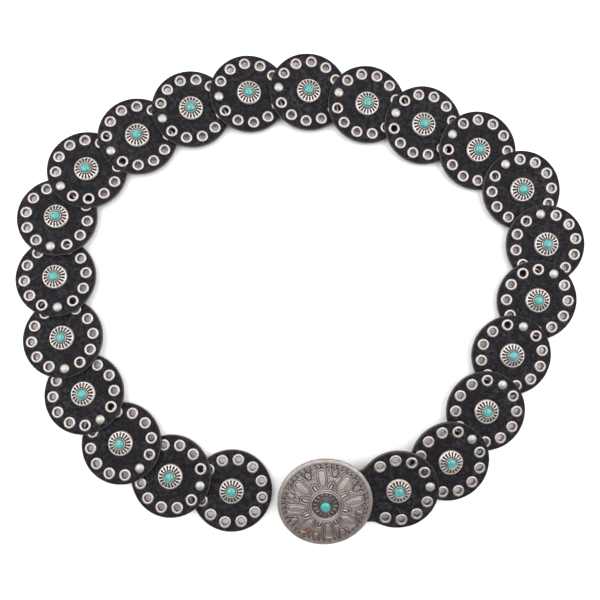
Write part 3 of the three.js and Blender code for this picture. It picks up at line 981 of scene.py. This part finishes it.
def fan_relief(px, py, count):
    """Palmettes between the tips of the petals: ribs that fan out and a smooth leaf on top."""
    out, side = petal_frame(px, py, count, math.pi / count)
    reach = np.hypot(out - FAN_ROOT, side)
    spread = np.arctan2(side, out - FAN_ROOT)
    field = smooth_step(2.3, 2.9, reach) * (1 - smooth_step(7.2, 7.9, reach))
    field = field * (1 - smooth_step(0.6, 0.72, np.abs(spread)))
    ribs = np.cos(spread * TURN / 0.26) * (out > FAN_ROOT + 0.2)
    leaf = np.hypot((out - LEAF_MIDDLE) / 2.3, side / 1.35)
    whole = 1 - smooth_step(0.8, 1.0, leaf)
    shadow = ridge(leaf, 1.2, 0.26)
    height = field * (0.2 * ribs * (1 - whole)) + 0.42 * whole - 0.25 * shadow
    dark = field * (0.1 - 0.26 * ribs) * (1 - whole) - 0.12 * whole + 0.42 * shadow
    return height, dark


def scroll_relief(radius, angle, count):
    """Border of small scrolls, each a curl that opens the same way."""
    across = ((angle * count / TURN) % 1 - 0.5) * TURN * SCROLL_MIDDLE / count
    up = radius - SCROLL_MIDDLE
    curl = np.hypot(across * 0.95, up)
    opening = smooth_step(0.1, 0.5, across) * smooth_step(0.0, -0.4, up)
    field = smooth_step(22.7, 23.0, radius) * (1 - smooth_step(25.1, 25.35, radius))
    loop = (ridge(curl, 0.88, 0.36) + ridge(curl, 0.0, 0.4)) * (1 - 0.85 * opening)
    return field * (0.4 * loop - 0.12), field * (0.36 - 0.66 * loop), field


def middle_relief(radius, angle):
    """Sunk dark disc in the middle, with small ovals, a rope and the cup of the stone."""
    sunk = 1 - smooth_step(7.7, 8.15, radius)
    bead_side = ((angle * BEADS / TURN) % 1 - 0.5) * TURN * BEAD_RADIUS / BEADS
    bead = np.hypot(bead_side / 0.8, (radius - BEAD_RADIUS) / 1.15)
    rope = ridge(radius, ROPE_RADIUS, 0.5)
    strand = 1 - np.abs(((angle * 26 / TURN + (radius - ROPE_RADIUS) * 0.35) % 1 - 0.5) * 2)
    cup = ridge(radius, CUP_RADIUS, 0.36)
    height = 0.55 * np.sqrt(np.clip(1 - bead ** 2, 0, 1)) - 0.95 * sunk
    height += rope * (0.2 + 0.3 * strand) + 1.25 * cup
    dark = 0.9 - 0.42 * ridge(bead, 0.8, 0.3) * (bead < 1.1) - 0.4 * rope * strand - 0.25 * cup
    return height, dark, sunk


def buckle_relief(px, py, petals):
    """Relief on the buckle's dome in even coordinates: height and darkness."""
    radius = np.hypot(px, py)
    angle = np.arctan2(py, px)
    petal, petal_dark, reach = petal_relief(px, py, petals)
    arch, arch_dark, gap = arch_relief(px, py, petals)
    fan, fan_dark = fan_relief(px, py, petals)
    scroll, scroll_dark, border = scroll_relief(radius, angle, SCROLLS)

    free = smooth_step(1.14, 1.3, reach)
    fans = free * smooth_step(2.4, 2.7, gap) * (1 - border)
    tendril = np.sin(angle * 44 + 2.4 * np.sin(radius * 1.6))
    tendril *= np.sin(radius * 2.7 + 2.2 * np.sin(angle * 16))
    field = smooth_step(15.2, 17.0, radius) * fans * (1 - np.clip(fan_dark, 0, 1))
    height = petal * (1 - free) + arch * free + (fan + 0.16 * tendril * field) * fans + scroll
    dark = 0.36 + petal_dark + arch_dark * free + (fan_dark - 0.22 * tendril * field) * fans + scroll_dark
    dark += 0.2 * smooth_step(16.5, 20.5, radius) * free

    lines = ridge(radius, 8.6, 0.36) + ridge(radius, 9.8, 0.36)
    grooves = ridge(radius, 9.2, 0.26) + ridge(radius, 10.4, 0.28)
    inner = smooth_step(11.1, 10.8, radius)
    height = height * (1 - inner) + inner * (0.34 * lines - 0.22 * grooves)
    dark = dark * (1 - inner) + inner * (0.42 + 0.36 * grooves - 0.26 * lines)
    centre, centre_dark, sunk = middle_relief(radius, angle)
    height = height * (1 - sunk) + centre
    dark = dark * (1 - sunk) + centre_dark * sunk

    rim = smooth_step(25.3, 25.6, radius)
    height = height * (1 - rim) + 0.26 * rim * ridge(radius, 26.6, 1.4) - 0.06 * ridge(radius, 25.35, 0.3)
    dark = dark * (1 - rim) + 0.32 * rim + 0.08 * ridge(radius, 25.4, 0.3)
    return height, np.clip(dark, 0, 1)


def face_rings(half, petals):
    """Rings over the buckle's face, from the middle to the rim: places, heights and darkness of each."""
    rings = []
    inner = np.linspace(0.35, BAND_RADIUS, 52)
    outer = np.linspace(BAND_RADIUS, PATTERN_RADIUS, 112)[1:]
    for radius, count in [(r, INNER_SECTORS) for r in inner] + [(r, OUTER_SECTORS) for r in outer]:
        even = ring_points(radius, radius, count)
        share = radius / PATTERN_RADIUS
        oval = ring_points(share, share, count) * half
        circle = even * 1.03
        mix = smooth_step(8.0, 14.0, radius)
        flat = circle * (1 - mix) + oval * mix
        lift, dark = buckle_relief(even[:, 0], even[:, 1], petals)
        rings.append((flat, dome_height(share) + lift, dark))
    return rings


def rim_and_back(half):
    """Rings that go round the rim and over the hollow back."""
    rows = [
        (1.004, 1.15, OUTER_SECTORS), (1.004, 0.45, OUTER_SECTORS), (0.992, 0.08, OUTER_SECTORS),
        (0.965, 0.0, OUTER_SECTORS), (0.94, 0.02, INNER_SECTORS), (0.925, 0.25, 160), (0.91, 0.65, 160),
    ]
    rows += [(s, float(dome_height(s)) - 1.45, 160) for s in (0.88, 0.84, 0.79, 0.73, 0.66, 0.58, 0.5)]
    rows += [(s, float(dome_height(s)) - 1.5, 80) for s in (0.42, 0.34, 0.26, 0.18, 0.1, 0.03)]
    return [(ring_points(share, share, count) * half, height, 0.45) for share, height, count in rows]


def stains(points):
    """Brown stains towards the lower edge of the face as it lies."""
    lower = smooth_step(6, 24, points[:, 1])
    left = np.exp(-((points[:, 0] - 15) / 7) ** 2 - ((points[:, 1] - 17) / 6) ** 2)
    return np.clip(0.4 * lower + 0.9 * left, 0, 1)


class BELT_OT_buckle_plate(bpy.types.Operator):
    """Build the domed oval plate with its relief"""
    bl_idname = "belt.buckle_plate"
    bl_label = "Buckle plate"

    def execute(self, context):
        make_materials(context.scene)
        settings = context.scene.belt_buckle
        half = np.array([settings.along, settings.across]) / MM / 2
        rings = face_rings(half, settings.petals) + rim_and_back(half)
        points, faces, dark = closed_shell((np.mean(rings[0][1]), 0.6), rings, (rings[-1][1], 0.45))
        plate = make_piece(
            "buckle_plate", points, faces, BUCKLE_FRAME, "antique_silver",
            {"recess": dark, "stain": stains(points)})
        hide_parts("buckle")
        return {"FINISHED"}


def wire_mesh(path, radius, sides=20):
    """Round wire along a smooth path of points, with rounded ends."""
    path = np.asarray(path, float)
    along = np.gradient(path, axis=0)
    along /= np.linalg.norm(along, axis=1)[:, None]
    points = []
    rings = []
    for k, (middle, forward) in enumerate(zip(path, along)):
        sideways = np.cross((0, 1, 0), forward)
        if np.linalg.norm(sideways) < 0.1:
            sideways = np.array([1.0, 0, 0])
        sideways /= np.linalg.norm(sideways)
        upward = np.cross(forward, sideways)
        size = radius * (0.6 if k in (0, len(path) - 1) else 1)
        rings.append(list(range(len(points), len(points) + sides)))
        for j in range(sides):
            angle = TURN * j / sides
            points.append(middle + size * (math.cos(angle) * sideways + math.sin(angle) * upward))
    faces = [tuple(rings[0][::-1]), tuple(rings[-1])]
    for low, high in zip(rings, rings[1:]):
        for j in range(sides):
            after = (j + 1) % sides
            faces.append((low[j], low[after], high[after], high[j]))
    return points, faces


def bend_path(corners, radius, steps=7):
    """Polyline through corners with each inner corner rounded off."""
    corners = [np.asarray(c, float) for c in corners]
    path = [corners[0]]
    for before, corner, after in zip(corners, corners[1:], corners[2:]):
        start = corner + (before - corner) / np.linalg.norm(before - corner) * radius
        end = corner + (after - corner) / np.linalg.norm(after - corner) * radius
        for t in np.linspace(0, 1, steps):
            path.append((1 - t) ** 2 * start + 2 * t * (1 - t) * corner + t ** 2 * end)
    path.append(corners[-1])
    return path


class BELT_OT_buckle_back(bpy.types.Operator):
    """Build the loop bar and the hook behind the buckle"""
    bl_idname = "belt.buckle_back"
    bl_label = "Loop bar and hook"

    def execute(self, context):
        make_materials(context.scene)
        x = BAR_FROM_DISC - BUCKLE_AHEAD
        y = TAB_W / 2 + 0.3 + BAR_D / 2
        z = TAB_RISE - BUCKLE_RAISE - FOLD_RADIUS
        loop = bend_path([(x, -y, z + 5.3), (x, -y, z), (x, y, z), (x, y, z + 5.3)], 1.5)
        hook = bend_path([(HOOK_AT, 0, 3.6), (HOOK_AT, 0, -4.8), (HOOK_AT - 6.5, 0, -4.2)], 2.6)
        foot = turned([(0, 1.7), (2.4, 1.7), (2.4, 2.5), (0, 3.4)], 20, at=(HOOK_AT, 0))
        for name, part in (
            ("loop_bar", wire_mesh(loop, BAR_D / 2)),
            ("hook", wire_mesh(hook, 1.4)),
            ("hook_foot", foot),
        ):
            make_piece(name, *part, BUCKLE_FRAME, "antique_silver", {"recess": 0.3, "stain": 0.2})
        return {"FINISHED"}


class BELT_OT_buckle_stone(bpy.types.Operator):
    """Build the turquoise in the middle of the buckle"""
    bl_idname = "belt.buckle_stone"
    bl_label = "Buckle stone"

    def execute(self, context):
        make_materials(context.scene)
        points, faces = stone_mesh(STONE_RADIUS, 5.6, 8.25, 64)
        piece = make_piece(
            "buckle_turquoise", points, faces, BUCKLE_FRAME, "turquoise",
            {"girdle": girdle(points, STONE_RADIUS)})
        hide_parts("buckle_stone")
        return {"FINISHED"}


# Stage, in metres

PICTURE_PIXELS = 600
FLOOR_HALF = 2.5
CAMERA_X, CAMERA_Y = -0.0025, -0.0227
CAMERA_SLANT, CAMERA_TILT = -0.27, 3.04  # degrees about Y and X
WORLD_STRENGTH = 0.5
LIGHTS = (  # name, place, power in watts, size
    ("left_light", (-0.75, 0.1, 1.0), 14.0, (1.1, 1.4)),
    ("right_light", (0.75, 0.1, 1.0), 14.0, (1.1, 1.4)),
    ("top_light", (0.0, 0.9, 0.9), 5.5, (1.2, 0.8)),
)


class BELT_OT_stage(bpy.types.Operator):
    """Build the floor, the soft light and the camera"""
    bl_idname = "belt.stage"
    bl_label = "Stage"

    def execute(self, context):
        scene = context.scene
        self.add_camera(scene)
        self.add_floor(scene)
        self.add_lights(scene)
        scene.view_settings.view_transform = "Standard"
        return {"FINISHED"}

    def add_camera(self, scene):
        settings = scene.belt_stage
        data = bpy.data.cameras.new("camera")
        data.sensor_width = 36.0
        data.lens = settings.focal_pixels / PICTURE_PIXELS * data.sensor_width
        data.clip_start = 0.01
        camera = bpy.data.objects.new("camera", data)
        camera.location = (CAMERA_X, CAMERA_Y, settings.camera_height)
        slant = Matrix.Rotation(math.radians(CAMERA_SLANT), 4, "Y")
        tilt = Matrix.Rotation(math.radians(CAMERA_TILT), 4, "X")
        camera.rotation_euler = (slant @ tilt).to_euler()
        scene.collection.objects.link(camera)
        scene.camera = camera

    def add_floor(self, scene):
        material, tree, shader = new_material("floor")
        soft = noise(tree, place_in_mm(tree), 0.004, 2.0)
        colour = blend_colours(tree, soft, (0.86, 0.86, 0.86), (0.9, 0.9, 0.9))
        set_inputs(tree, shader, {"Base Color": colour, "Roughness": 0.9})
        mesh = bpy.data.meshes.new("floor")
        corners = [(x * FLOOR_HALF, y * FLOOR_HALF, 0) for x, y in ((-1, -1), (1, -1), (1, 1), (-1, 1))]
        mesh.from_pydata(corners, [], [(0, 1, 2, 3)])
        mesh.materials.append(material)
        floor = bpy.data.objects.new("floor", mesh)
        scene.collection.objects.link(floor)

    def add_lights(self, scene):
        world = bpy.data.worlds.new("world")
        scene.world = world
        world.use_nodes = True
        tree = world.node_tree
        background = {"Color": (1.0, 1.0, 1.0, 1.0), "Strength": WORLD_STRENGTH}
        set_inputs(tree, tree.nodes["Background"], background)
        for name, place, power, size in LIGHTS:
            data = bpy.data.lights.new(name, "AREA")
            data.energy = power
            data.shape = "RECTANGLE"
            data.size, data.size_y = size
            light = bpy.data.objects.new(name, data)
            light.location = place
            light.rotation_euler = (-Vector(place)).to_track_quat("-Z", "Y").to_euler()
            scene.collection.objects.link(light)


class BELT_PT_panel(bpy.types.Panel):
    """Lists the pieces of the belt"""
    bl_idname = "BELT_PT_panel"
    bl_label = "Western belt"
    bl_space_type = "VIEW_3D"
    bl_region_type = "UI"
    bl_category = "Belt"

    def draw(self, context):
        layout = self.layout
        for operator in OPERATORS:
            layout.operator(operator.bl_idname)
        for group in SETTINGS:
            settings = getattr(context.scene, group)
            for key in settings.__annotations__:
                layout.prop(settings, key)


SETTINGS = {
    "belt_leather": LeatherSettings,
    "belt_hardware": HardwareSettings,
    "belt_concho": ConchoSettings,
    "belt_buckle": BuckleSettings,
    "belt_stage": StageSettings,
}
OPERATORS = (
    BELT_OT_stage,
    BELT_OT_leather_discs,
    BELT_OT_eyelets,
    BELT_OT_rivets,
    BELT_OT_conchos,
    BELT_OT_buckle_plate,
    BELT_OT_buckle_back,
    BELT_OT_buckle_stone,
)


def register():
    for settings in (*SETTINGS.values(), *OPERATORS, BELT_PT_panel):
        bpy.utils.register_class(settings)
    for name, group in SETTINGS.items():
        setattr(bpy.types.Scene, name, PointerProperty(type=group))


def unregister():
    for name in SETTINGS:
        delattr(bpy.types.Scene, name)
    for settings in (BELT_PT_panel, *OPERATORS[::-1], *SETTINGS.values()):
        bpy.utils.unregister_class(settings)


def main():
    register()
    bpy.ops.belt.stage()
    bpy.ops.belt.leather_discs()
    bpy.ops.belt.eyelets()
    bpy.ops.belt.rivets()
    bpy.ops.belt.conchos()
    bpy.ops.belt.buckle_plate()
    bpy.ops.belt.buckle_back()
    bpy.ops.belt.buckle_stone()


if __name__ == "__main__":
    main()
